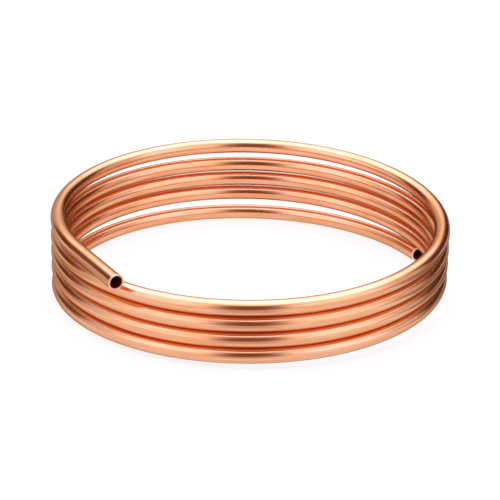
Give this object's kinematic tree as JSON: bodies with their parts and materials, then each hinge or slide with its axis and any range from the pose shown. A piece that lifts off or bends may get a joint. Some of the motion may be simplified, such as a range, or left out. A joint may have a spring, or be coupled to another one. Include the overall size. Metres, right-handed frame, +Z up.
{
  "type": "copper tube coil",
  "caption": "Loose round coil of bright soft copper tube, 10 mm outside diameter, about 3.6 m long, with both ends cut square and open.",
  "frame": {"origin": "on the coil's axis, at the level of the floor that the lowest turn lies on", "axes": "+Z up along the coil's axis; +X to the right and -Y towards the viewer, with the upper cut end at the front left and the lower one at the back right"},
  "size_m": [0.26, 0.26, 0.0604],
  "materials": {
    "copper": "polished"
  },
  "bodies": {
    "root": {"copper_tube": "copper"}
  },
  "joints": []
}
